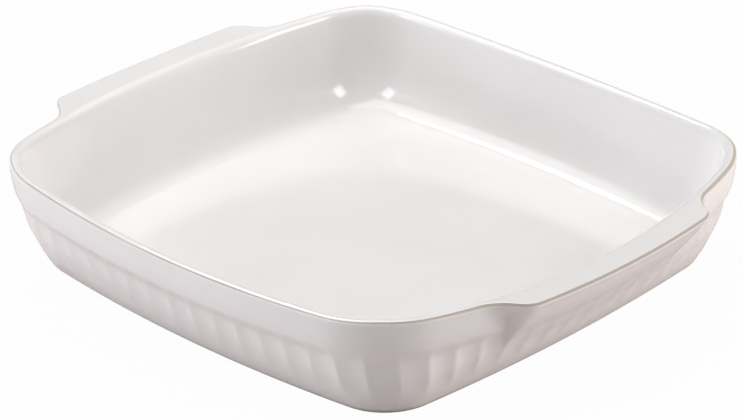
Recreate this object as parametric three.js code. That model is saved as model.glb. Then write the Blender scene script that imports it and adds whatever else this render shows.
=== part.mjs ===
// A square ceramic baking dish: one stoneware moulding with two lug handles and a fluted wall,
// under three coats of glaze. Millimetres, +Z up, origin on the table under the middle of the dish,
// with the handles at -X and +X.
import * as THREE from "three";

// Outline of the rim, seen from above: four bowed sides and round corners
const RIM_LENGTH = 260; // along X, between the middles of the sides that carry the handles
const RIM_WIDTH = 243; // along Y, between the middles of the plain sides
const RIM_LENGTH_BOW = 280; // radius of the bow of the sides that carry the handles
const RIM_WIDTH_BOW = 575; // radius of the bow of the plain sides
const RIM_CORNER = 42; // radius of the corners

// Outline of the base, where the slope of the wall meets the table
const BASE_LENGTH = 217;
const BASE_WIDTH = 213;
const BASE_LENGTH_BOW = 830;
const BASE_WIDTH_BOW = 650;
const BASE_CORNER = 27;

// Section through the wall
const HEIGHT = 47.5; // table to the top of the rim, at the corners
const RIM_DIP = 3.5; // how far the rim sinks from the corners to the middle of each side
const DIP_REACH = 108; // distance from the middle of a side to where the sinking ends
const WALL = 5.2; // clay and glaze together
const FLOOR_TOP = 7; // height of the glazed floor above the table
const FLOOR_FILLET = 16; // how far the round at the foot of the inner wall reaches up and in
const EDGE_ROUND = 0.9; // rounding of the outer edge of the rim
const LIP_ROUND = 1.8; // rounding of the inner edge of the rim
const LIP_DEPTH = 3.6; // how far down the inner wall that rounding runs out
const GLAZE = 0.5; // thickness of a coat
const GLAZE_END = 0.2; // thickness of a coat where it stops
const BOND = 0.02; // between the back of a coat and the clay

// Lug handles: the rim steps out between two S-curves
const HANDLE_REACH = 9.6; // how far the handle stands out from the middle of the bowed side
const HANDLE_BOW = 410; // radius of the bow of the handle's edge
const HANDLE_RISE = 0.6; // how far the handle climbs from the rim to its edge
const HANDLE_LENGTH = 97; // even part of the handle's edge, along Y
const HANDLE_EAR = 9; // radius of the outer corners of the handle
const HANDLE_SWEEP = 14; // radius of the hollow where the handle runs back to the rim
const HANDLE_THICKNESS = 4; // from top to underside at the edge
const HANDLE_GUSSET = 7.5; // height of the hollow round between the wall and the underside
const HANDLE_ROLL = 5; // how far the inner wall rolls outwards over the handle

// Flutes: shallow upright hollows between soft ridges, under a plain collar
const FLUTES = 68; // round the whole dish, a multiple of four
const FLUTE_DEPTH = 0.6;
const FLUTE_FOOT = 7; // height at which the flutes are fully formed
const FLUTE_HEAD = 25.5; // height at which they begin to close
const GROOVE_HEIGHT = 28; // the groove under the collar
const GROOVE_DEPTH = 0.7;
const GROOVE_HALF = 2; // half the height of the groove

// Foot: a ring of bare clay round a glazed recess
const FOOT_BEVEL = 2.6; // how far the ring stands in from the wall
const FOOT_WIDTH = 6;
const FOOT_DEPTH = 1.5; // depth of the recess
const FOOT_SLOPE = 1; // run of the slope between the ring and the recess
const WALL_FOOT = 3.5; // height at which the wall starts above the bevel

// Fineness of the faceted surface
const STRAIGHT_STEPS = 2;
const EAR_STEPS = 3;
const SWEEP_STEPS = 3;
const CORNER_STEPS = 6;
const SIDE_STEPS = 3;
const FILLET_STEPS = 4;
const GUSSET_STEPS = 3;
const FLUTE_SECTION = [0, 0.75, 1, 0.75]; // share of the depth, from a ridge across one flute

const FULL_TURN = 2 * Math.PI;
const blend = (a, b, share) => a + (b - a) * share;
const steps = (count) => Array.from({ length: count }, (_, i) => (i + 1) / count);
const sum = (numbers) => numbers.reduce((total, number) => total + number, 0);

// A quarter of an outline as three arcs: half of a handle side, a corner and half of a plain side.
function quarterOutline(length, width, lengthBow, widthBow, corner) {
  const handleX = length / 2 - lengthBow;
  const plainY = width / 2 - widthBow;
  const apart = Math.hypot(handleX, plainY);
  const toHandle = lengthBow - corner;
  const toPlain = widthBow - corner;
  const along = (toHandle ** 2 - toPlain ** 2 + apart ** 2) / (2 * apart);
  const across = Math.sqrt(toHandle ** 2 - along ** 2);
  const x = handleX + (-handleX * along - plainY * across) / apart;
  const y = (plainY * along - handleX * across) / apart;
  const turnIn = Math.atan2(y, x - handleX);
  const turnOut = Math.atan2(y - plainY, x);
  return [
    { x: handleX, y: 0, radius: lengthBow, from: 0, to: turnIn },
    { x, y, radius: corner, from: turnIn, to: turnOut },
    { x: 0, y: plainY, radius: widthBow, from: turnOut, to: Math.PI / 2 },
  ];
}

const rim = quarterOutline(RIM_LENGTH, RIM_WIDTH, RIM_LENGTH_BOW, RIM_WIDTH_BOW, RIM_CORNER);
const base = quarterOutline(BASE_LENGTH, BASE_WIDTH, BASE_LENGTH_BOW, BASE_WIDTH_BOW, BASE_CORNER);

// The handle's edge: an ear, an arc that turns in, runs into a sweep, an arc that turns back along the rim.
const lugTurn = Math.acos(1 - HANDLE_REACH / (HANDLE_EAR + HANDLE_SWEEP));
const earStart = HANDLE_LENGTH / 2;
const sweepStart = earStart + HANDLE_EAR * Math.sin(lugTurn);
const sweepEnd = sweepStart + HANDLE_SWEEP * Math.sin(lugTurn);

// How far an arc has fallen away at a distance from its middle.
const fall = (radius, distance) => radius - Math.sqrt(radius ** 2 - distance ** 2);

// Share of the handle's reach at a distance y from its middle.
function lugShare(y) {
  if (y <= earStart) return 1;
  if (y >= sweepEnd) return 0;
  if (y <= sweepStart) return 1 - fall(HANDLE_EAR, y - earStart) / HANDLE_REACH;
  return fall(HANDLE_SWEEP, sweepEnd - y) / HANDLE_REACH;
}

const lugReach = (y) => lugShare(y) * (HANDLE_REACH + fall(RIM_LENGTH_BOW, y) - fall(HANDLE_BOW, y));

// A station is a place along a quarter: a distance y on the handle side, or a share of one of its arcs.
const smoothStations = [
  { y: 0 },
  ...steps(STRAIGHT_STEPS).map((s) => ({ y: s * earStart })),
  ...steps(EAR_STEPS).map((s) => ({ y: earStart + HANDLE_EAR * Math.sin(s * lugTurn) })),
  ...steps(SWEEP_STEPS).map((s) => ({ y: sweepEnd - HANDLE_SWEEP * Math.sin((1 - s) * lugTurn) })),
  { arc: 0, share: 1 },
  ...steps(CORNER_STEPS).map((share) => ({ arc: 1, share })),
  ...steps(SIDE_STEPS).map((share) => ({ arc: 2, share })),
];

// Stations spread evenly round the wall, several to a flute.
function fluteStations() {
  const lengthOf = (arc) => arc.radius * (arc.to - arc.from);
  const lengths = rim.map((arc, i) => (lengthOf(arc) + lengthOf(base[i])) / 2);
  const starts = lengths.map((_, i) => sum(lengths.slice(0, i)));
  const count = (FLUTES / 4) * FLUTE_SECTION.length;
  return [0, ...steps(count)].map((share) => {
    const distance = share * sum(lengths);
    const arc = starts.findLastIndex((start) => start <= distance);
    return { arc, share: (distance - starts[arc]) / lengths[arc] };
  });
}

function place(outline, station) {
  const arc = outline[station.arc ?? 0];
  const turn =
    station.y === undefined ? blend(arc.from, arc.to, station.share) : Math.asin(station.y / arc.radius);
  const nx = Math.cos(turn);
  const ny = Math.sin(turn);
  return { x: arc.x + arc.radius * nx, y: arc.y + arc.radius * ny, nx, ny };
}

// Mirrors a quarter into the whole ring, counter-clockwise seen from above.
function wholeRing(quarter) {
  const flipX = ({ x, y, nx, ny }) => ({ x: -x, y, nx: -nx, ny });
  const flipY = ({ x, y, nx, ny }) => ({ x, y: -y, nx, ny: -ny });
  const between = quarter.slice(1, -1);
  return [
    ...quarter,
    ...between.map(flipX).reverse(),
    ...quarter.map(flipX).map(flipY),
    ...between.map(flipY).reverse(),
  ];
}

// What a ring of the surface needs at each of its stations.
function trackOf(stations) {
  const sink = (d) => Math.max(0, 1 - (d / DIP_REACH) ** 2);
  const tops = wholeRing(stations.map((station) => place(rim, station)));
  const feet = wholeRing(stations.map((station) => place(base, station)));
  return tops.map((top, i) => ({
    top,
    foot: feet[i],
    turn: (Math.atan2(top.y, top.x) + FULL_TURN) % FULL_TURN,
    rimHeight: HEIGHT - RIM_DIP * Math.max(sink(top.x), sink(top.y)),
    lug: Math.sign(top.x) * lugReach(Math.abs(top.y)),
    rise: HANDLE_RISE * lugShare(Math.abs(top.y)),
    hollow: FLUTE_DEPTH * FLUTE_SECTION[i % FLUTE_SECTION.length],
  }));
}

const smoothTrack = trackOf(smoothStations);
const fluteTrack = trackOf(fluteStations());

// How deep a layer lies under the glazed surface, where the coat has a given thickness.
const layers = {
  face: () => 0,
  back: (coat) => coat,
  clay: (coat) => coat + BOND,
};

// One ring of a layer. A row says how far it stands in from the wall, its height (or its drop below
// the rim), its share of the handle's reach, its share of the flutes' depth, and which way its coat of
// glaze faces.
function ringOf(row, layer = "face") {
  const { inset = 0, height, drop, lug = 0, flute, out = 0, up = 0, coat = GLAZE } = row;
  const track = flute === undefined ? smoothTrack : fluteTrack;
  const depth = layers[layer](coat);
  return track.map((at) => {
    const level = height ?? at.rimHeight - drop;
    const share = level / HEIGHT;
    const back = inset + out * depth + (flute ?? 0) * at.hollow;
    const x = blend(at.foot.x, at.top.x, share) - back * blend(at.foot.nx, at.top.nx, share);
    const y = blend(at.foot.y, at.top.y, share) - back * blend(at.foot.ny, at.top.ny, share);
    return { x: x + lug * at.lug, y, z: level + lug * at.rise - up * depth, turn: at.turn };
  });
}

// Triangles between two rings, facing outwards when the second ring lies above the first. Stations are
// matched by their turn round the rim.
function strip(low, high) {
  const turnOf = (ring, i) => ring[i]?.turn ?? FULL_TURN;
  const triangles = [];
  let a = 0;
  let b = 0;
  while (a < low.length || b < high.length) {
    const here = low[a % low.length];
    const there = high[b % high.length];
    const stepLow = b >= high.length || (a < low.length && turnOf(low, a + 1) <= turnOf(high, b + 1));
    if (stepLow) a += 1;
    else b += 1;
    triangles.push([here, stepLow ? low[a % low.length] : high[b % high.length], there]);
  }
  return triangles;
}

const sheet = (rings) => rings.slice(1).flatMap((ring, i) => strip(rings[i], ring));
const turned = (triangles) => triangles.map(([a, b, c]) => [a, c, b]);

function disc(ring, height) {
  const middle = { x: 0, y: 0, z: height };
  return ring.map((point, i) => [point, ring[(i + 1) % ring.length], middle]);
}

// Rows of the outside, from the foot up the flutes and the collar to the edge of the rim and handles.
const quarterTurns = steps(GUSSET_STEPS).map((share) => (share * Math.PI) / 2);
const outerRows = [
  { inset: FOOT_BEVEL / 2, height: FOOT_DEPTH, out: 1, coat: GLAZE_END },
  { height: WALL_FOOT, flute: 0, out: 1 },
  { height: FLUTE_FOOT, flute: 1, out: 1 },
  { height: FLUTE_HEAD, flute: 1, out: 1 },
  { inset: GROOVE_DEPTH, height: GROOVE_HEIGHT, flute: 0, out: 1 },
  { height: GROOVE_HEIGHT + GROOVE_HALF, out: 1 },
  { drop: HANDLE_THICKNESS + HANDLE_GUSSET, out: 1 },
  ...quarterTurns.map((turn) => ({
    drop: HANDLE_THICKNESS + HANDLE_GUSSET * (1 - Math.sin(turn)),
    lug: (1 - Math.cos(turn)) * (1 - EDGE_ROUND / HANDLE_REACH),
    out: 1,
    up: -Math.sin(turn),
  })),
  { drop: HANDLE_THICKNESS - EDGE_ROUND, lug: 1, out: 1 },
  { drop: EDGE_ROUND, lug: 1, out: 1, coat: GLAZE_END },
];

// Rows of the inside, from the edge of the rim over the lip, down the wall and round to the floor.
const roll = HANDLE_ROLL / HANDLE_REACH;
const lipMiddle = LIP_ROUND * (1 - Math.SQRT1_2);
const innerRows = [
  { inset: EDGE_ROUND, drop: 0, lug: 1, up: 1, coat: GLAZE_END },
  { inset: WALL - LIP_ROUND, drop: 0, lug: roll, up: 1 },
  { inset: WALL - lipMiddle, drop: lipMiddle, lug: roll / 2, up: Math.SQRT1_2, out: -Math.SQRT1_2 },
  { inset: WALL, drop: LIP_DEPTH, out: -1 },
  ...[0, ...steps(FILLET_STEPS)].map((share) => ({
    inset: WALL + FLOOR_FILLET * share ** 2,
    height: FLOOR_TOP + FLOOR_FILLET * (1 - share) ** 2,
    out: share - 1,
    up: share,
  })),
];

const outerRings = (layer) => outerRows.map((row) => ringOf(row, layer));
const innerRings = (layer) => innerRows.map((row) => ringOf(row, layer));

function innerSheet(layer) {
  const rings = innerRings(layer);
  return [...sheet(rings), ...disc(rings.at(-1), FLOOR_TOP - layers[layer](GLAZE))];
}

const recessInset = FOOT_BEVEL + FOOT_WIDTH + FOOT_SLOPE;

function stonewareBody() {
  const recess = ringOf({ inset: recessInset, height: FOOT_DEPTH });
  const footInside = ringOf({ inset: FOOT_BEVEL + FOOT_WIDTH, height: 0 });
  const footOutside = ringOf({ inset: FOOT_BEVEL, height: 0 });
  return [
    ...turned(disc(recess, FOOT_DEPTH)),
    ...sheet([recess, footInside, footOutside, ...outerRings("clay"), innerRings("clay")[0]]),
    ...innerSheet("clay"),
  ];
}

function outerGlaze() {
  const back = outerRings("back");
  return [...sheet([back[0], ...outerRings("face"), back.at(-1)]), ...turned(sheet(back))];
}

function innerGlaze() {
  const ends = [innerRings("back")[0], innerRings("face")[0]];
  return [...sheet(ends), ...innerSheet("face"), ...turned(innerSheet("back"))];
}

function undersideGlaze() {
  const top = FOOT_DEPTH - BOND;
  const bottom = FOOT_DEPTH - GLAZE;
  const upper = ringOf({ inset: recessInset, height: top });
  const lower = ringOf({ inset: recessInset + FOOT_SLOPE, height: bottom });
  return [...turned(disc(lower, bottom)), ...sheet([lower, upper]), ...disc(upper, top)];
}

function meshOf(name, triangles, material) {
  const numbers = triangles.flat().flatMap(({ x, y, z }) => [x, y, z]);
  const geometry = new THREE.BufferGeometry();
  geometry.setAttribute("position", new THREE.Float32BufferAttribute(numbers, 3));
  geometry.computeVertexNormals();
  const mesh = new THREE.Mesh(geometry, material);
  mesh.name = name;
  return mesh;
}

const clay = () => new THREE.MeshStandardMaterial({ color: "#b08a62", roughness: 0.85, metalness: 0 });
const glaze = () => new THREE.MeshStandardMaterial({ color: "#eeeae6", roughness: 0.12, metalness: 0 });

const dish = new THREE.Group();
dish.add(
  meshOf("stoneware_body", stonewareBody(), clay()),
  meshOf("inner_glaze", innerGlaze(), glaze()),
  meshOf("outer_glaze", outerGlaze(), glaze()),
  meshOf("underside_glaze", undersideGlaze(), glaze()),
);

export default dish;
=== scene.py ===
"""Ceramic baking dish: a square stoneware moulding with two lug handles under a glossy white glaze.

Metres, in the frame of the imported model: +Z up, origin on the table under the middle of the dish, with
the handles at -X and +X.
"""
import math
from collections import namedtuple

import bpy
import numpy as np
from bpy.props import FloatProperty, FloatVectorProperty, IntProperty, PointerProperty
from bpy.types import Operator, Panel, PropertyGroup
from mathutils import Matrix, Vector


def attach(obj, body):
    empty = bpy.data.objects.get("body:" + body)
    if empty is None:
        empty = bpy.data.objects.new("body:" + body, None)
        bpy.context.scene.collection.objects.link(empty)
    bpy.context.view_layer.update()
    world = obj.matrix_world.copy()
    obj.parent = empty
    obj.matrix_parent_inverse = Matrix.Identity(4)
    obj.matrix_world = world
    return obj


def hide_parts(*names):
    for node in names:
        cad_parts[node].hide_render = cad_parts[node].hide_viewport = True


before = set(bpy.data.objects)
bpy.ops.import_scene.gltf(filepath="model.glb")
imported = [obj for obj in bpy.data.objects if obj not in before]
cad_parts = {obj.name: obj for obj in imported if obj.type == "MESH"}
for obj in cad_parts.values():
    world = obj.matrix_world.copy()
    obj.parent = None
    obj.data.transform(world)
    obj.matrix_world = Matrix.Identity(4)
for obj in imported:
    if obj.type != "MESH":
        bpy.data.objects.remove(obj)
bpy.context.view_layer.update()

bl_info = {
    "name": "Ceramic baking dish",
    "version": (1, 0, 0),
    "blender": (4, 5, 0),
    "location": "View3D > Sidebar > Baking dish",
    "description": "Builds a glazed stoneware baking dish with a fluted wall and two lug handles",
    "category": "Object",
}

PHOTO_WIDTH = 743  # pixels across the photograph's frame
SENSOR_WIDTH = 36.0  # millimetres, as the camera's lens is


def length(name, default, description):
    return FloatProperty(
        name=name, description=description, default=default, min=0.0, precision=4,
        subtype="DISTANCE", unit="LENGTH",
    )


def angle(name, degrees, description):
    return FloatProperty(
        name=name, description=description, default=math.radians(degrees), subtype="ANGLE", unit="ROTATION"
    )


def colour(name, default, description):
    return FloatVectorProperty(
        name=name, description=description, default=default, min=0.0, max=1.0, size=3, subtype="COLOR"
    )


class DishSizes(PropertyGroup):
    rim_length: length("Rim length", 0.260, "Between the middles of the sides that carry the handles")
    rim_width: length("Rim width", 0.243, "Between the middles of the plain sides")
    rim_length_bow: length("Bow of the handle sides", 0.280, "Radius of the rim over the handle sides")
    rim_width_bow: length("Bow of the plain sides", 0.575, "Radius of the rim's plain sides")
    rim_corner: length("Rim corner", 0.042, "Radius of the rim's corners")
    base_length: length("Base length", 0.2195, "Where the slope of the handle sides meets the table")
    base_width: length("Base width", 0.2155, "Where the slope of the plain sides meets the table")
    base_length_bow: length("Base bow of the handle sides", 0.830, "Radius of the base's handle sides")
    base_width_bow: length("Base bow of the plain sides", 0.650, "Radius of the base's plain sides")
    base_corner: length("Base corner", 0.027, "Radius of the base's corners")
    height: length("Height", 0.0475, "Table to the top of the rim at the corners")
    rim_dip: length("Rim dip", 0.0035, "How far the rim sinks to the middle of each side")
    dip_reach: length("Dip reach", 0.108, "From the middle of a side to where the sinking ends")
    wall: length("Wall", 0.0052, "Thickness of clay and glaze together")
    floor_top: length("Floor top", 0.007, "Height of the glazed floor")
    fillet_run: length("Fillet run", 0.012, "How far the inner wall's round reaches over the floor")
    fillet_rise: length("Fillet rise", 0.026, "How far that round reaches up the wall")
    edge_round: length("Edge round", 0.0016, "Rounding of the handles' outer edge")
    crown_run: length("Crown run", 0.0023, "From the rim's outer face to the top of its crown")
    crown_fall: length("Crown fall", 0.0020, "How far the crown falls to the outer face")
    lip_round: length("Lip round", 0.0018, "Rounding of the rim's inner edge")
    lip_depth: length("Lip depth", 0.0036, "How far down the inner wall that rounding runs out")
    glaze: length("Glaze", 0.0005, "Thickness of a coat")
    bond: length("Bond", 0.00002, "Between the back of a coat and the clay")
    handle_reach: length("Handle reach", 0.0096, "How far a handle stands out from the bowed side")
    handle_bow: length("Handle bow", 0.410, "Radius of the handle's edge")
    handle_rise: length("Handle rise", 0.0006, "How far a handle climbs from the rim to its edge")
    handle_length: length("Handle length", 0.097, "Even part of the handle's edge")
    handle_ear: length("Handle ear", 0.009, "Radius of the handle's outer corners")
    handle_sweep: length("Handle sweep", 0.014, "Radius of the hollow where the handle runs back to the rim")
    handle_thickness: length("Handle thickness", 0.0017, "Height of the handle's upright edge")
    handle_gusset: length("Handle gusset", 0.026, "Height over which the wall sweeps out to that edge")
    handle_roll: length("Handle roll", 0.0015, "How far the inner wall rolls outwards over a handle")
    handle_fall: length("Handle fall", 0.004, "How far down the inner wall that roll runs out")
    flutes: IntProperty(name="Flutes", description="Flutes round the whole dish", default=68, min=4, step=4)
    flute_depth: length("Flute depth", 0.0008, "Depth of a flute at its middle")
    flute_start: length("Flute start", 0.006, "Height at which the flutes begin")
    flute_foot: length("Flute foot", 0.016, "Height at which the flutes are fully formed")
    flute_head: length("Flute head", 0.021, "Where the flutes begin to close, below the rim")
    collar_swell: length("Collar swell", 0.0044, "How far the wall stands out from a straight slope")
    collar_bend: length("Collar bend", 0.0018, "Softness of the bend between the upright collar and the wall")
    collar_height: length("Collar height", 0.0125, "From the rim down to the collar's lower edge")
    collar_step: length("Collar step", 0.0012, "How far the collar stands out over the wall below it")
    collar_turn: length("Collar turn", 0.0065, "Height over which that step turns in")
    collar_return: length("Collar return", 0.013, "Height over which the wall below it comes out again")
    foot_bevel: length("Foot bevel", 0.0036, "How far the foot ring stands in from the wall")
    foot_round: length("Foot round", 0.0006, "Rounding of the foot ring's outer edge")
    foot_width: length("Foot width", 0.006, "Width of the foot ring")
    foot_depth: length("Foot depth", 0.0015, "Depth of the recess inside the foot ring")
    foot_slope: length("Foot slope", 0.001, "Run of the slope between the ring and the recess")
    wall_foot: length("Wall foot", 0.019, "Height at which the wall starts to round in to the foot")
    glaze_foot: length("Glaze foot", 0.001, "Height of the glaze's lower end on the outside")
    break_turn: angle("Break", 50, "Where the glaze breaks on the rim's outer edge, from level")
    break_width: length("Break width", 0.0015, "Widest strip of clay that shows where the glaze breaks")


class DishFinish(PropertyGroup):
    white: colour("White", (0.92, 0.904, 0.892), "Glaze where it lies even")
    milk: colour("Milk", (0.945, 0.930, 0.918), "Glaze where it lies thick")
    tan: colour("Tan", (0.74, 0.70, 0.65), "Clay that shows through thin glaze")
    clay: colour("Clay", (0.60, 0.545, 0.48), "Bare stoneware")
    clay_dark: colour("Dark clay", (0.50, 0.44, 0.375), "Grain of the bare stoneware")
    speck: colour("Speck", (0.74, 0.70, 0.64), "Iron specks under the glaze")


class StudioSettings(PropertyGroup):
    azimuth: angle("Azimuth", 44.293, "Camera's turn from the front towards +X")
    elevation: angle("Elevation", 26.746, "Camera's height above the table's plane")
    roll: angle("Roll", -0.582, "Camera's tilt in the picture")
    distance: length("Distance", 1.639484, "From the aimed point to the camera")
    focal: FloatProperty(name="Focal length", description="In pixels of the photograph", default=3892.0)
    aim: FloatVectorProperty(
        name="Aim", description="Aimed point on the table", default=(-0.028348, 0.027833, 0.0), size=3,
        subtype="TRANSLATION", unit="LENGTH",
    )


# Outline and rings of the dish

Arc = namedtuple("Arc", "x y radius start end")
STATIONS_PER_FLUTE = 12
QUARTERS = 4
CORNER_START, CORNER_END = 0.075, 0.1  # from both middle lines, where a side turns into a corner
CORNER_SWELL = 0.35  # how far the collar's swelling fades in the corners
END_GUSSET = 0.3  # height of a handle's sweep at its two ends, as a share
GUSSET_START = 0.6  # share of a handle's reach at which its sweep starts to grow taller
SWEEP_HOLLOW = 1.35  # how hollow that sweep is: 1 is straight
HANDLE_SWELL = 0.4  # how much of the collar's swelling a handle keeps
# The clay strip where the glaze breaks is real; its widening towards the +X half is painted shade for the
# dark line along the rim's outer edge.
BREAK_LEAST = 0.22  # width of the break where no shade is painted, as a share of the widest
SHADE_GAIN = 0.68  # what the painted shade, standing in for the dark line along the rim's outer edge, adds to it
SHADE_SIDE = 0.35  # turn from +X to the middle of the side with that painted shade, in radians
SHADE_START, SHADE_FULL = 0.2, 0.9  # cosines from that middle, where the gain sets in and is full
WEAR_WAVES = 9, 23  # slow and quick waves of the break round the rim
WEAR_SHIFT = 1.0  # turn of the slow ones, in radians
WEAR_UNEVEN = 0.04  # height of a wave


def mix(a, b, amount):
    return a + (b - a) * amount


def steps(count):
    """Even shares from just above 0 up to 1."""
    return np.arange(1, count + 1) / count


def smooth(low, high, value):
    amount = np.clip((value - low) / (high - low), 0, 1)
    return amount * amount * (3 - 2 * amount)


def quarter_outline(outline_length, outline_width, length_bow, width_bow, corner):
    """A quarter of an outline as three arcs: half a handle side, a corner and half a plain side."""
    handle_x = outline_length / 2 - length_bow
    plain_y = outline_width / 2 - width_bow
    apart = math.hypot(handle_x, plain_y)
    to_handle = length_bow - corner
    to_plain = width_bow - corner
    along = (to_handle**2 - to_plain**2 + apart**2) / (2 * apart)
    across = math.sqrt(to_handle**2 - along**2)
    x = handle_x + (-handle_x * along - plain_y * across) / apart
    y = (plain_y * along - handle_x * across) / apart
    turn_in = math.atan2(y, x - handle_x)
    turn_out = math.atan2(y - plain_y, x)
    return [
        Arc(handle_x, 0.0, length_bow, 0.0, turn_in),
        Arc(x, y, corner, turn_in, turn_out),
        Arc(0.0, plain_y, width_bow, turn_out, math.pi / 2),
    ]


def arc_fall(radius, distance):
    """How far an arc has fallen away at a distance from its middle."""
    return radius - np.sqrt(np.maximum(radius**2 - distance**2, 0))


# A row's inset from the outline; its level, from a height up to a drop below the rim, by the share hang;
# its shares of handle, swelling and flutes; its way into the clay; its coat's thickness and thinness
Row = namedtuple(
    "Row", "inset height drop hang lug swell flute out up coat thin",
    defaults=(0.0, 0.0, 0.0, 0.0, 0.0, 0.0, 0.0, 0.0, 0.0, 1.0, 0.0),
)


class Track:
    """What a ring of the dish needs at each of its stations, counter-clockwise seen from above."""

    def __init__(self, sizes):
        self.sizes = sizes
        rim = quarter_outline(
            sizes.rim_length, sizes.rim_width, sizes.rim_length_bow, sizes.rim_width_bow, sizes.rim_corner
        )
        base = quarter_outline(
            sizes.base_length, sizes.base_width, sizes.base_length_bow, sizes.base_width_bow,
            sizes.base_corner,
        )
        arcs, shares = self.stations(rim, base)
        self.top = self.whole_ring(self.place(rim, arcs, shares))
        self.foot = self.whole_ring(self.place(base, arcs, shares))
        self.count = len(self.top)
        self.phase = np.arange(self.count) / STATIONS_PER_FLUTE
        x, y = abs(self.top[:, 0]), abs(self.top[:, 1])
        sink = np.maximum(0, 1 - (np.minimum(x, y) / sizes.dip_reach) ** 2)
        self.rim_height = sizes.height - sizes.rim_dip * sink
        self.lean = np.hypot(*(self.top - self.foot)[:, :2].T) / sizes.height
        self.corner = smooth(CORNER_START, CORNER_END, np.minimum(x, y))
        self.handle = self.handle_share(y)
        reach = sizes.handle_reach + arc_fall(sizes.rim_length_bow, y) - arc_fall(sizes.handle_bow, y)
        self.lug = np.sign(self.top[:, 0]) * self.handle * reach
        self.rise = sizes.handle_rise * self.handle
        full = smooth(GUSSET_START, 1, self.handle)
        self.gusset = sizes.handle_gusset * mix(END_GUSSET, 1, full)
        self.edge_in = mix(sizes.crown_run, sizes.edge_round, self.handle)
        self.edge_down = mix(sizes.crown_fall, sizes.edge_round, self.handle)
        spread = sizes.break_width * self.break_and_shade() / (self.edge_in + self.edge_down)
        self.break_low = sizes.break_turn - spread
        self.break_high = sizes.break_turn + spread

    def stations(self, rim, base):
        """Arc and share of each station of a quarter, spread evenly along the middle of the wall."""
        lengths = [
            sum(one.radius * (one.end - one.start) for one in pair) / 2 for pair in zip(rim, base)
        ]
        ends = np.cumsum(lengths)
        distance = np.linspace(0, ends[-1], self.sizes.flutes // QUARTERS * STATIONS_PER_FLUTE + 1)
        arcs = np.minimum(np.searchsorted(ends, distance, side="right"), len(lengths) - 1)
        return arcs, (distance - (ends - lengths)[arcs]) / np.array(lengths)[arcs]

    @staticmethod
    def place(outline, arcs, shares):
        """x, y and the outward normal at stations of a quarter."""
        x, y, radius, start, end = np.array(outline)[arcs].T
        turn = mix(start, end, shares)
        nx, ny = np.cos(turn), np.sin(turn)
        return np.stack([x + radius * nx, y + radius * ny, nx, ny], axis=1)

    @staticmethod
    def whole_ring(quarter):
        """Mirrors a quarter into the whole ring."""
        flip_x, flip_y = np.array([-1, 1, -1, 1]), np.array([1, -1, 1, -1])
        between = quarter[-2:0:-1]
        return np.concatenate([quarter, between * flip_x, quarter * flip_x * flip_y, between * flip_y])

    def break_and_shade(self):
        """How wide the glaze breaks along the rim, never quite even; widest on the +X half, where the extra
        width is painted shade for the dark line along the edge.
        """
        turn = np.arctan2(self.top[:, 1], self.top[:, 0])
        slow, quick = WEAR_WAVES
        uneven = np.sin(slow * turn + WEAR_SHIFT) + np.sin(quick * turn)
        # painted shade: the clay strip widens towards the +X half
        painted_shade = smooth(SHADE_START, SHADE_FULL, np.cos(turn - SHADE_SIDE))
        return BREAK_LEAST + SHADE_GAIN * painted_shade + WEAR_UNEVEN * uneven

    def handle_share(self, y):
        """Share of a handle's reach: an ear that turns in, then a sweep that turns back along the rim."""
        s = self.sizes
        turn = math.acos(1 - s.handle_reach / (s.handle_ear + s.handle_sweep))
        ear_start = s.handle_length / 2
        sweep_start = ear_start + s.handle_ear * math.sin(turn)
        sweep_end = sweep_start + s.handle_sweep * math.sin(turn)
        ear = 1 - arc_fall(s.handle_ear, y - ear_start) / s.handle_reach
        sweep = arc_fall(s.handle_sweep, sweep_end - y) / s.handle_reach
        return np.select([y <= ear_start, y <= sweep_start, y < sweep_end], [1.0, ear, sweep], 0.0)

    def swell(self, level):
        """How far the wall stands out from a straight slope: an upright collar over a steeper flare."""
        s = self.sizes
        upright = self.lean * (self.rim_height - level)
        flare = s.collar_swell * (1 - CORNER_SWELL * self.corner) * level / s.height
        return (upright + flare - np.hypot(upright - flare, s.collar_bend)) / 2

    def reach(self, level):
        """Share of a handle's reach up the outside, where the wall sweeps out to the handle's edge."""
        edge = self.rim_height - self.sizes.handle_thickness
        climb = np.clip(1 - (edge - level) / self.gusset, 0, 1)
        return climb**SWEEP_HOLLOW

    def ring(self, row, layer):
        """Points of a row: on the glazed face, on the back of the coat or on the clay."""
        s = self.sizes
        depth = {"face": 0.0, "back": row.coat * s.glaze, "clay": row.coat * s.glaze + s.bond}[layer]
        level = mix(row.height, self.rim_height - row.drop, row.hang)
        x, y, nx, ny = mix(self.foot, self.top, (level / s.height)[:, None]).T
        swell = row.swell * mix(1, HANDLE_SWELL, row.lug * self.handle) * self.swell(level)
        back = row.inset + row.out * depth - swell
        z = level + row.lug * self.rise - row.up * depth
        return np.stack([x - back * nx + row.lug * self.lug, y - back * ny, z], axis=1)

    def rings(self, rows, layer):
        return [self.ring(row, layer) for row in rows]

    def inward(self, row):
        """Unit vectors from the wall towards the middle, for the flutes."""
        level = mix(row.height, self.rim_height - row.drop, row.hang)
        normals = mix(self.foot, self.top, (level / self.sizes.height)[:, None])[:, 2:]
        return np.concatenate([-normals, np.zeros((self.count, 1))], axis=1)


# Rows of the section, from the foot up the outside and from the rim down the inside

COAT_END = 0.2  # thickness of a coat where it stops, as a share
COAT_FULL = 2.5  # height at which the outer coat is full, in heights of its lower end
THIN_TO = 3.0  # height up to which it lies thin, in the same
THIN_FROM = 0.7  # share of the rim's round after which a coat thins to its end
HANDLE_FLAT = 0.3  # share of a handle's top rows that lie on its flat
CORNER_FADE = 0.5  # how far the step under the collar fades in the corners
FOOT_POWER = 1.5  # how late the wall rounds in to the foot: 1 is straight
LOWER_WALL = 0.45  # share of the outside that has its rows further apart
LOWER_ROWS, UPPER_ROWS, EDGE_ROWS = 19, 46, 8  # up the outside and over the rim's round
CROWN_ROWS, TOP_ROWS, WALL_ROWS, FILLET_ROWS = 9, 24, 6, 28  # from that round down the inside
BARE_ROWS = 5  # on the clay between the ends of the two coats


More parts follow.
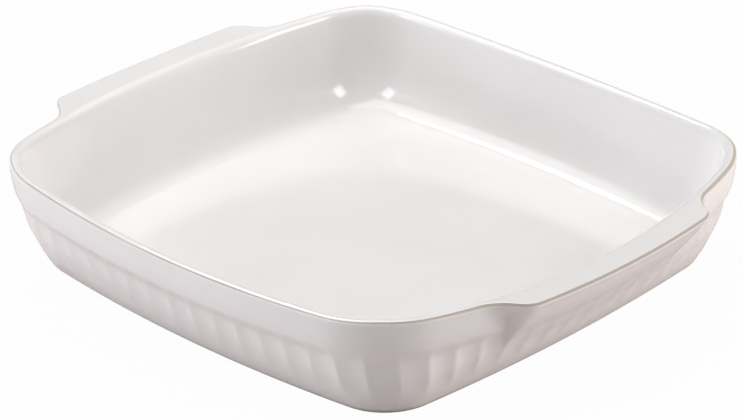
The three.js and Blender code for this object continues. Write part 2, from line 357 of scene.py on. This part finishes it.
def edge_row(track, turn, thin):
    """A row on the round of the rim's outer edge, at a turn from level for each station."""
    c, n = np.cos(turn), np.sin(turn)
    return Row(
        inset=track.edge_in * (1 - c), drop=track.edge_down * (1 - n), hang=1, lug=1, swell=1, out=c, up=n,
        coat=mix(1, COAT_END, thin), thin=thin,
    )


def wall_row(track, t):
    """A row of the outside, from 0 at the glaze's lower end to 1 under the rim's round."""
    s = track.sizes
    level = mix(s.glaze_foot, track.rim_height - track.edge_down, t)
    drop = track.rim_height - level
    inset = s.foot_bevel * np.clip(1 - level / s.wall_foot, 0, 1) ** FOOT_POWER
    turned = s.collar_height + s.collar_turn
    step = smooth(s.collar_height, turned, drop) * smooth(turned + s.collar_return, turned, drop)
    inset += s.collar_step * step * (1 - CORNER_FADE * track.corner) * (1 - track.handle)
    flute = smooth(s.flute_start, s.flute_foot, level) * smooth(s.collar_height, s.flute_head, drop)
    up = level / s.glaze_foot
    return Row(
        inset=inset, height=s.glaze_foot, drop=track.edge_down, hang=t, lug=track.reach(level), swell=1,
        flute=flute, out=1, coat=mix(COAT_END, 1, smooth(1, COAT_FULL, up)), thin=smooth(THIN_TO, 1, up),
    )


def outer_rows(track):
    rows = [wall_row(track, t) for t in np.linspace(0, LOWER_WALL, LOWER_ROWS)]
    rows += [wall_row(track, mix(LOWER_WALL, 1, t)) for t in steps(UPPER_ROWS)]
    rows += [edge_row(track, track.break_low * t, smooth(THIN_FROM, 1, t)) for t in steps(EDGE_ROWS)]
    return rows


def bare_rows(track):
    """Rows of the clay where the glaze breaks on the rim's outer edge."""
    between = steps(BARE_ROWS + 1)[:-1]
    return [edge_row(track, mix(track.break_low, track.break_high, t), 1.0) for t in between]


def inner_rows(track):
    s = track.sizes
    rows = [
        edge_row(track, mix(math.pi / 2, track.break_high, t), smooth(THIN_FROM, 1, t))
        for t in np.linspace(1, 0, CROWN_ROWS)
    ]
    rows += [top_row(track, t) for t in steps(TOP_ROWS)]
    wall_end = s.floor_top + s.fillet_rise
    rows += [rows[-1]._replace(height=wall_end, hang=1 - t) for t in steps(WALL_ROWS)]
    for t in steps(FILLET_ROWS):
        rows.append(
            Row(
                inset=s.wall + s.fillet_run * t**2, height=s.floor_top + s.fillet_rise * (1 - t) ** 2,
                out=t - 1, up=t,
            )
        )
    return rows


def top_row(track, t):
    """A row from the crown of the rim into the inner wall, or from a handle's flat top over its roll."""
    s = track.sizes
    flat = min(t / HANDLE_FLAT, 1)
    bend = max(0, (t - HANDLE_FLAT) / (1 - HANDLE_FLAT))
    roll = s.handle_roll / s.handle_reach
    turn = mix(t, bend, track.handle) * math.pi / 2
    handle_inset = mix(mix(s.edge_round, s.wall - s.lip_round, flat), s.wall, 1 - (1 - bend) ** 2)
    rim_inset = mix(s.crown_run, s.wall, 1 - (1 - t) ** 2)
    return Row(
        inset=mix(rim_inset, handle_inset, track.handle),
        drop=mix(s.lip_depth * t**2, s.handle_fall * bend**2, track.handle),
        hang=1, lug=mix(1, roll, flat) * (1 - bend) ** 2, out=-np.sin(turn), up=np.cos(turn),
    )


FLOOR_RINGS = 12
OUTER_STEP, INNER_STEP = 2, 3  # rows of a face to each row of its hidden side


def floor_rings(ring):
    """Rings that shrink from a ring towards the middle of a flat floor."""
    return [ring * [t, t, 1] for t in np.linspace(1, 0, FLOOR_RINGS, endpoint=False)[1:]]


def thinned(rows, step):
    """Every second or third row for a hidden side, with both ends kept."""
    return rows[:-1:step] + rows[-1:]


# Meshes


def skin(name, rings, poles):
    """A closed mesh through rings: ended by a pole at the middle of each end, or else run round in a loop."""
    count = len(rings[0])
    points = np.concatenate(rings)
    here = np.arange(count)
    ahead = np.roll(here, -1)
    pairs = [(i, i + 1) for i in range(len(rings) - 1)]
    if not poles:
        pairs.append((len(rings) - 1, 0))
    faces = []
    for low, high in pairs:
        corners = [here + low * count, ahead + low * count, ahead + high * count, here + high * count]
        faces += np.stack(corners, axis=1).tolist()
    if poles:
        middles = np.array([[0, 0, rings[0][0, 2]], [0, 0, rings[-1][0, 2]]])
        last = (len(rings) - 1) * count
        faces += [[len(points), b, a] for a, b in zip(here.tolist(), ahead.tolist())]
        faces += [[len(points) + 1, a + last, b + last] for a, b in zip(here.tolist(), ahead.tolist())]
        points = np.concatenate([points, middles])
    mesh = bpy.data.meshes.new(name)
    mesh.from_pydata(points.tolist(), [], faces)
    mesh.validate()
    return mesh


def mark(mesh, name, values):
    """Stores one number for each vertex; vertices past the end, such as poles, get 0."""
    full = np.zeros(len(mesh.vertices), np.float32)
    full[: len(values)] = values
    mesh.attributes.new(name, "FLOAT", "POINT").data.foreach_set("value", full)


def mark_vectors(mesh, name, values):
    full = np.zeros((len(mesh.vertices), 3), np.float32)
    full[: len(values)] = values
    mesh.attributes.new(name, "FLOAT_VECTOR", "POINT").data.foreach_set("vector", full.ravel())


def spread(track, values):
    """One number for each station of each row, where a row has one for all or one for each."""
    return np.concatenate([np.broadcast_to(value, track.count) for value in values])


def mark_flutes(mesh, track, rows):
    """Stores what the flutes need at each vertex: its place across a flute, a share of depth, a way in."""
    mark(mesh, "flute_phase", np.tile(track.phase, len(rows)))
    mark(mesh, "flute_share", spread(track, [row.flute for row in rows]))
    mark_vectors(mesh, "inward", np.concatenate([track.inward(row) for row in rows]))


def mark_thin(mesh, track, rows):
    mark(mesh, "thin", spread(track, [row.thin for row in rows]))


SHARP = math.radians(50)


def settle(mesh, name, node, material):
    """Puts a finished mesh in the scene in place of its CAD node."""
    mesh.materials.clear()
    mesh.materials.append(material)
    mesh.shade_smooth()
    mesh.set_sharp_from_angle(angle=SHARP)
    piece = bpy.data.objects.new(name, mesh)
    bpy.context.scene.collection.objects.link(piece)
    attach(piece, "root")
    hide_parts(node)


# Node trees


class Wire:
    """A socket of a node tree. Sums and products of wires add Math nodes."""

    def __init__(self, tree, socket=None):
        self.tree = tree
        self.socket = socket

    def node(self, kind, inputs=None, output=0, stops=None, **settings):
        """Adds a node with its settings, then sets or links its inputs, and returns one output."""
        made = self.tree.nodes.new(kind)
        for name, value in settings.items():
            setattr(made, name, value)
        if stops:
            for element, (position, level) in zip(made.color_ramp.elements, stops):
                element.position = position
                element.color = (level, level, level, 1)
        for key, value in (inputs or {}).items():
            if isinstance(value, Wire):
                self.tree.links.new(value.socket, made.inputs[key])
            else:
                made.inputs[key].default_value = value
        return Wire(self.tree, made.outputs[output] if made.outputs else None)

    def math(self, operation, *values):
        return self.node("ShaderNodeMath", dict(enumerate(values)), operation=operation)

    def __add__(self, other):
        return self.math("ADD", self, other)

    __radd__ = __add__

    def __sub__(self, other):
        return self.math("SUBTRACT", self, other)

    def __rsub__(self, other):
        return self.math("SUBTRACT", other, self)

    def __mul__(self, other):
        return self.math("MULTIPLY", self, other)

    __rmul__ = __mul__

    def place(self):
        return self.node("ShaderNodeTexCoord", output="Object")

    def noise(self, scale, detail, bite=0.5):
        """Noise in the piece's own place; bite is how much each finer layer counts."""
        inputs = {"Vector": self.place(), "Scale": scale, "Detail": detail, "Roughness": bite}
        return self.node("ShaderNodeTexNoise", inputs)

    def ramp(self, *stops):
        """Grey levels between two stops."""
        return self.node("ShaderNodeValToRGB", {"Fac": self}, stops=stops)

    def blend(self, a, b):
        """A colour between two, where this wire is the factor."""
        ends = {0: self, 6: a, 7: b}
        return self.node("ShaderNodeMix", ends, output=2, data_type="RGBA", clamp_factor=True)


def rgba(values):
    return (*values, 1.0)


RIDGE_ROUND = 0.3  # softness of the ridges between flutes


def flute_tree():
    """A Geometry Nodes tree that presses flutes into a wall, with its inputs for depth and material."""
    tree = bpy.data.node_groups.new("wall_flutes", "GeometryNodeTree")
    tree.is_modifier = True
    tree.interface.new_socket("Wall", in_out="INPUT", socket_type="NodeSocketGeometry")
    depth_socket = tree.interface.new_socket("Flute depth", in_out="INPUT", socket_type="NodeSocketFloat")
    material_socket = tree.interface.new_socket("Material", in_out="INPUT", socket_type="NodeSocketMaterial")
    tree.interface.new_socket("Fluted wall", in_out="OUTPUT", socket_type="NodeSocketGeometry")
    start = Wire(tree)
    entry = tree.nodes.new("NodeGroupInput")
    wall, depth, finish = (Wire(tree, socket) for socket in list(entry.outputs)[:3])

    def attribute(name, kind):
        return start.node("GeometryNodeInputNamedAttribute", {"Name": name}, data_type=kind)

    across = start.math("ABSOLUTE", start.math("FRACT", attribute("flute_phase", "FLOAT")) - 0.5)
    beyond = 1 - across
    # Each flute is a parabola, 1 in its middle and 0 on its ridges, where it runs softly into the next
    hollow = start.math("SMOOTH_MAX", 1 - 4 * across * across, 1 - 4 * beyond * beyond, RIDGE_ROUND)
    push = hollow * depth * attribute("flute_share", "FLOAT")
    offset = start.node(
        "ShaderNodeVectorMath", {0: attribute("inward", "FLOAT_VECTOR"), "Scale": push}, operation="SCALE"
    )
    moved = start.node("GeometryNodeSetPosition", {"Geometry": wall, "Offset": offset})
    real = start.node("GeometryNodeRealizeInstances", {"Geometry": moved})
    done = start.node("GeometryNodeSetMaterial", {"Geometry": real, "Material": finish})
    exit_node = tree.nodes.new("NodeGroupOutput")
    tree.links.new(done.socket, exit_node.inputs[0])
    return tree, depth_socket.identifier, material_socket.identifier


def fluted_mesh(mesh, sizes, material):
    """A plain mesh with the flutes pressed in, from one that carries the flute attributes."""
    tree, depth_input, material_input = flute_tree()
    carrier = bpy.data.objects.new("flute_carrier", mesh)
    bpy.context.scene.collection.objects.link(carrier)
    modifier = carrier.modifiers.new("flutes", "NODES")
    modifier.node_group = tree
    modifier[depth_input] = sizes.flute_depth
    modifier[material_input] = material
    evaluated = carrier.evaluated_get(bpy.context.evaluated_depsgraph_get())
    made = bpy.data.meshes.new_from_object(evaluated)
    carrier.modifiers.remove(modifier)
    bpy.data.objects.remove(carrier)
    bpy.data.node_groups.remove(tree)
    for name in ("flute_phase", "flute_share", "inward"):
        made.attributes.remove(made.attributes[name])
    return made


# Finishes: noise scales are per metre, and a ramp's stops are places and levels

GLAZE_NAME, CLAY_NAME = "glossy_white_glaze", "fired_stoneware"  # the CAD's materials have other names
CLOUD_SCALE, CLOUD_DETAIL = 22.0, 3.0  # where the glaze lies thicker and thinner
MILK_STOPS = (0.35, 0.0), (0.65, 1.0)
SPECK_SCALE = 70.0
SPECK_STOPS = (0.018, 1.0), (0.032, 0.0)
SPECK_FIELDS = (0.45, 0.0), (0.6, 0.7)  # only some clouds hold specks
TAN_STOPS = (0.25, 0.0), (0.9, 1.0)
RIPPLE_SCALE, PEEL_SCALE, FACE_DETAIL = 60.0, 900.0, 1.0  # slow waves and fine peel of the glaze's face
PEEL_SHARE = 0.02  # of the peel beside the waves
RIPPLE_HEIGHT = 0.00012
GLAZE_ROUGHNESS = 0.10
CLOUD_ROUGHNESS, THIN_ROUGHNESS = 0.06, 0.25  # what clouds and thin glaze add to it
GLAZE_IOR = 1.6
GRAIN_SCALE, GRAIN_DETAIL, GRAIN_BITE = 1400.0, 4.0, 0.7
GRAIN_STOPS = (0.4, 0.0), (0.7, 1.0)
GRAIN_SHARE, PATCH_SHARE = 0.6, 0.4  # of grain and patches in the clay's colour
PATCH_SCALE, PATCH_DETAIL = 45.0, 3.0
GRAIN_HEIGHT, GRAIN_STRENGTH = 0.0001, 0.5
CLAY_ROUGHNESS, GRAIN_ROUGHNESS = 0.62, 0.25


def new_material(name):
    material = bpy.data.materials.new(name)
    material.use_nodes = True
    material.node_tree.nodes.clear()
    return material, Wire(material.node_tree)


def finish_surface(wire, shader):
    wire.node("ShaderNodeOutputMaterial", {"Surface": shader})


def glaze_material(finish):
    """Glossy warm white glaze that lies thicker and thinner, breaks tan at edges and has a few specks."""
    material, wire = new_material(GLAZE_NAME)
    clouds = wire.noise(CLOUD_SCALE, CLOUD_DETAIL)
    ripple = wire.noise(RIPPLE_SCALE, FACE_DETAIL)
    peel = wire.noise(PEEL_SCALE, FACE_DETAIL)
    cells = wire.node("ShaderNodeTexVoronoi", {"Vector": wire.place(), "Scale": SPECK_SCALE}, feature="F1")
    thin = wire.node("ShaderNodeAttribute", output="Fac", attribute_name="thin")
    even = clouds.ramp(*MILK_STOPS).blend(rgba(finish.white), rgba(finish.milk))
    specks = cells.ramp(*SPECK_STOPS) * clouds.ramp(*SPECK_FIELDS)
    specked = specks.blend(even, rgba(finish.speck))
    base = thin.ramp(*TAN_STOPS).blend(specked, rgba(finish.tan))
    face = ripple + PEEL_SHARE * peel
    bump = wire.node("ShaderNodeBump", {"Strength": 1.0, "Distance": RIPPLE_HEIGHT, "Height": face})
    shader = wire.node(
        "ShaderNodeBsdfPrincipled",
        {
            "Base Color": base,
            "Roughness": GLAZE_ROUGHNESS + CLOUD_ROUGHNESS * clouds + THIN_ROUGHNESS * thin,
            "Normal": bump,
            "IOR": GLAZE_IOR,
        },
    )
    finish_surface(wire, shader)
    return material


def clay_material(finish):
    """Bare fired stoneware: matt, pale tan and finely grained."""
    material, wire = new_material(CLAY_NAME)
    grain = wire.noise(GRAIN_SCALE, GRAIN_DETAIL, GRAIN_BITE)
    patches = wire.noise(PATCH_SCALE, PATCH_DETAIL)
    mask = grain.ramp(*GRAIN_STOPS) * GRAIN_SHARE + PATCH_SHARE * patches
    bump = wire.node(
        "ShaderNodeBump", {"Strength": GRAIN_STRENGTH, "Distance": GRAIN_HEIGHT, "Height": grain}
    )
    shader = wire.node(
        "ShaderNodeBsdfPrincipled",
        {
            "Base Color": mask.blend(rgba(finish.clay), rgba(finish.clay_dark)),
            "Roughness": CLAY_ROUGHNESS + GRAIN_ROUGHNESS * grain,
            "Normal": bump,
        },
    )
    finish_surface(wire, shader)
    return material


def shared_glaze(finish):
    """The one glaze of all three coats."""
    return bpy.data.materials.get(GLAZE_NAME) or glaze_material(finish)


# Stage

FLOOR_SIZE = 6.0
FLOOR_GAP = 0.0001  # keeps the floor and the foot ring from lying in one plane
FLOOR_WHITE = 0.97  # how far the floor is plain white to the camera; the rest is its light and shade
FLOOR_GLEAM = 0.1  # the same in the glaze's reflections
FLOOR_COLOUR = (0.71, 0.65, 0.645)  # of its light and shade
FLOOR_SEEN = (1.0, 1.0, 1.0)
ROOM_COLOUR = (0.02, 0.02, 0.02)


def floor_material():
    """Plain white floor that keeps a soft part of the dish's shadow."""
    material, wire = new_material("floor")
    paths = wire.tree.nodes.new("ShaderNodeLightPath")
    kinds = ("Camera", "Glossy", "Transmission")
    camera, glossy, through = (Wire(wire.tree, paths.outputs[f"Is {kind} Ray"]) for kind in kinds)
    plain = wire.math("MAXIMUM", FLOOR_WHITE * camera, FLOOR_WHITE * through)
    seen = wire.math("MAXIMUM", plain, FLOOR_GLEAM * glossy)
    diffuse = wire.node("ShaderNodeBsdfDiffuse", {"Color": rgba(FLOOR_COLOUR)})
    white = wire.node("ShaderNodeEmission", {"Color": rgba(FLOOR_SEEN), "Strength": 1.0})
    shader = wire.node("ShaderNodeMixShader", {0: seen, 1: diffuse, 2: white})
    finish_surface(wire, shader)
    return material


def add_floor():
    half = FLOOR_SIZE / 2
    mesh = bpy.data.meshes.new("floor")
    corners = [(-half, -half), (half, -half), (half, half), (-half, half)]
    mesh.from_pydata([(x, y, -FLOOR_GAP) for x, y in corners], [], [(0, 1, 2, 3)])
    mesh.materials.append(floor_material())
    floor = bpy.data.objects.new("floor", mesh)
    bpy.context.scene.collection.objects.link(floor)


def light_world():
    """A dim even room round the lamps."""
    world = bpy.data.worlds.new("dim_room")
    world.use_nodes = True
    world.node_tree.nodes.clear()
    wire = Wire(world.node_tree)
    background = wire.node("ShaderNodeBackground", {"Color": rgba(ROOM_COLOUR)})
    wire.node("ShaderNodeOutputWorld", {"Surface": background})
    bpy.context.scene.world = world


Lamp = namedtuple("Lamp", "name azimuth elevation width height glow colour mirrored", defaults=(True,))
LAMP_DISTANCE = 1.3
COOL = (0.95, 0.955, 1.0)
WARM = (1.0, 0.955, 0.935)
LAMPS = (
    Lamp("left_softbox", 333, 46, 0.46, 0.46, 5.5, COOL),
    Lamp("right_softbox", 112, 40, 0.44, 0.44, 6.8, (1.0, 0.98, 0.975)),
    Lamp("top_diffuser", 262, 70, 1.21, 0.95, 2.5, (1.0, 0.995, 0.98)),
    Lamp("back_window", 237, 43, 0.18, 0.11, 12.0, (0.97, 1.0, 0.96)),
    Lamp("far_back_window", 247, 47.5, 0.18, 0.11, 12.0, (0.97, 1.0, 0.96)),
    Lamp("back_diffuser", 197, 46, 0.90, 0.30, 0.8, (1.0, 1.0, 1.0)),
    Lamp("left_fill", 344, 24, 0.85, 0.37, 2.1, COOL, mirrored=False),
    Lamp("low_left_fill", 318, 6, 0.95, 0.24, 6.4, (0.925, 0.95, 1.0), mirrored=False),
    Lamp("front_right_fill", 104, 26, 0.85, 0.37, 0.4, WARM, mirrored=False),
    Lamp("right_fill", 137, 22, 0.95, 0.37, 2.6, WARM, mirrored=False),
    Lamp("low_right_fill", 133, 6, 0.95, 0.24, 6.6, WARM, mirrored=False),
)


def direction(azimuth, elevation):
    """From the dish outwards: azimuth from the front (-Y) towards +X."""
    level = math.cos(elevation)
    return Vector((math.sin(azimuth) * level, -math.cos(azimuth) * level, math.sin(elevation)))


def add_lamp(lamp):
    data = bpy.data.lights.new(lamp.name, "AREA")
    data.shape = "RECTANGLE"
    data.size = lamp.width
    data.size_y = lamp.height
    data.energy = math.pi * lamp.width * lamp.height * lamp.glow
    data.color = lamp.colour
    away = direction(math.radians(lamp.azimuth), math.radians(lamp.elevation))
    light = bpy.data.objects.new(lamp.name, data)
    light.rotation_euler = away.to_track_quat("Z", "Y").to_euler()
    light.location = away * LAMP_DISTANCE
    light.visible_glossy = lamp.mirrored
    bpy.context.scene.collection.objects.link(light)


def add_camera(studio):
    data = bpy.data.cameras.new("camera")
    data.sensor_fit = "HORIZONTAL"
    data.sensor_width = SENSOR_WIDTH
    data.lens = studio.focal * SENSOR_WIDTH / PHOTO_WIDTH
    back = direction(studio.azimuth, studio.elevation)
    right = Vector((0, 0, 1)).cross(back).normalized()
    turn = Matrix((right, back.cross(right), back)).transposed() @ Matrix.Rotation(studio.roll, 3, "Z")
    camera = bpy.data.objects.new("camera", data)
    camera.matrix_world = Matrix.Translation(Vector(studio.aim) + back * studio.distance) @ turn.to_4x4()
    bpy.context.scene.collection.objects.link(camera)
    bpy.context.scene.camera = camera


# Operators

UNDERSIDE_TURN = 1 / 3  # share of the foot's slope over which the underside's coat turns to its edge
UNDERSIDE_FULL = 0.7  # share of that coat's thickness at the turn
FOOT_IN, FOOT_UP = 1 / 4, 1 / 3  # middle of the foot ring's round, as shares of it


class DISH_OT_inner_glaze(Operator):
    """Coat on the floor, the inner walls, the top of the rim and the handles"""

    bl_idname = "dish.inner_glaze"
    bl_label = "Inner glaze"

    def execute(self, context):
        sizes = context.scene.dish_sizes
        track = Track(sizes)
        rows = inner_rows(track)
        hidden = thinned(rows, INNER_STEP)[::-1]
        face = track.rings(rows, "face")
        back = track.rings(hidden, "back")
        under = floor_rings(back[0])[::-1]
        mesh = skin("inner_glaze_coat", under + back + face + floor_rings(face[-1]), poles=True)
        flat = [Row()] * (FLOOR_RINGS - 1)
        mark_thin(mesh, track, flat + hidden + rows + flat)
        material = shared_glaze(context.scene.dish_finish)
        settle(mesh, "inner_glaze_coat", "inner_glaze", material)
        return {"FINISHED"}


class DISH_OT_outer_glaze(Operator):
    """Coat on the fluted outside, from the foot to the edge of the rim and handles"""

    bl_idname = "dish.outer_glaze"
    bl_label = "Outer glaze"

    def execute(self, context):
        sizes = context.scene.dish_sizes
        track = Track(sizes)
        rows = outer_rows(track)
        hidden = thinned(rows, OUTER_STEP)[::-1]
        rings = track.rings(rows, "face") + track.rings(hidden, "back")
        mesh = skin("outer_glaze_coat", rings, poles=False)
        mark_thin(mesh, track, rows + hidden)
        mark_flutes(mesh, track, rows + hidden)
        material = shared_glaze(context.scene.dish_finish)
        fluted = fluted_mesh(mesh, sizes, material)
        settle(fluted, "outer_glaze_coat", "outer_glaze", material)
        return {"FINISHED"}


class DISH_OT_underside_glaze(Operator):
    """Coat in the recess inside the foot ring"""

    bl_idname = "dish.underside_glaze"
    bl_label = "Underside glaze"

    def execute(self, context):
        s = context.scene.dish_sizes
        track = Track(s)
        edge = s.foot_bevel + s.foot_width + s.foot_slope
        rows = [
            Row(inset=edge + s.foot_slope, height=s.foot_depth - s.glaze),
            Row(inset=edge + s.foot_slope * UNDERSIDE_TURN, height=s.foot_depth - s.glaze * UNDERSIDE_FULL),
            Row(inset=edge, height=s.foot_depth - s.bond, thin=1.0),
        ]
        rings = track.rings(rows, "face")
        whole = floor_rings(rings[0])[::-1] + rings + floor_rings(rings[-1])
        mesh = skin("underside_glaze_coat", whole, poles=True)
        mark_thin(mesh, track, [Row()] * (FLOOR_RINGS - 1) + rows)
        material = shared_glaze(context.scene.dish_finish)
        settle(mesh, "underside_glaze_coat", "underside_glaze", material)
        return {"FINISHED"}


class DISH_OT_stoneware(Operator):
    """Fired clay under the coats, bare on the foot ring and along the edge of the rim"""

    bl_idname = "dish.stoneware"
    bl_label = "Stoneware body"

    def execute(self, context):
        s = context.scene.dish_sizes
        track = Track(s)
        ring_in = s.foot_bevel + s.foot_width
        foot = [
            Row(inset=ring_in + s.foot_slope, height=s.foot_depth),
            Row(inset=ring_in, height=0.0),
            Row(inset=s.foot_bevel + s.foot_round, height=0.0),
            Row(inset=s.foot_bevel + s.foot_round * FOOT_IN, height=s.foot_round * FOOT_UP),
        ]
        outside = thinned(outer_rows(track), OUTER_STEP)
        inside = thinned(inner_rows(track), INNER_STEP)
        rows = foot + outside + bare_rows(track) + inside
        rings = track.rings(rows, "clay")
        whole = floor_rings(rings[0])[::-1] + rings + floor_rings(rings[-1])
        mesh = skin("stoneware", whole, poles=True)
        flat = [Row()] * (FLOOR_RINGS - 1)
        mark_flutes(mesh, track, flat + rows + flat)
        material = clay_material(context.scene.dish_finish)
        fluted = fluted_mesh(mesh, s, material)
        settle(fluted, "stoneware", "stoneware_body", material)
        return {"FINISHED"}


class DISH_OT_stage(Operator):
    """Floor, room, lamps and camera"""

    bl_idname = "dish.stage"
    bl_label = "Stage"

    def execute(self, context):
        add_floor()
        light_world()
        for lamp in LAMPS:
            add_lamp(lamp)
        add_camera(context.scene.dish_studio)
        context.scene.view_settings.view_transform = "Standard"
        return {"FINISHED"}


OPERATORS = (
    DISH_OT_stoneware,
    DISH_OT_inner_glaze,
    DISH_OT_outer_glaze,
    DISH_OT_underside_glaze,
    DISH_OT_stage,
)


class DISH_PT_sidebar(Panel):
    """Pieces of the dish, with their sizes and finishes"""

    bl_idname = "DISH_PT_sidebar"
    bl_label = "Baking dish"
    bl_space_type = "VIEW_3D"
    bl_region_type = "UI"
    bl_category = "Baking dish"

    def draw(self, context):
        for operator in OPERATORS:
            self.layout.operator(operator.bl_idname)
        for group in (context.scene.dish_sizes, context.scene.dish_finish, context.scene.dish_studio):
            box = self.layout.box()
            for name in group.__annotations__:
                box.prop(group, name)


CLASSES = (DishSizes, DishFinish, StudioSettings, *OPERATORS, DISH_PT_sidebar)


def register():
    for one in CLASSES:
        bpy.utils.register_class(one)
    bpy.types.Scene.dish_sizes = PointerProperty(type=DishSizes)
    bpy.types.Scene.dish_finish = PointerProperty(type=DishFinish)
    bpy.types.Scene.dish_studio = PointerProperty(type=StudioSettings)


def unregister():
    del bpy.types.Scene.dish_sizes
    del bpy.types.Scene.dish_finish
    del bpy.types.Scene.dish_studio
    for one in reversed(CLASSES):
        bpy.utils.unregister_class(one)


def main():
    register()
    bpy.ops.dish.stoneware()
    bpy.ops.dish.inner_glaze()
    bpy.ops.dish.outer_glaze()
    bpy.ops.dish.underside_glaze()
    bpy.ops.dish.stage()


if __name__ == "__main__":
    main()
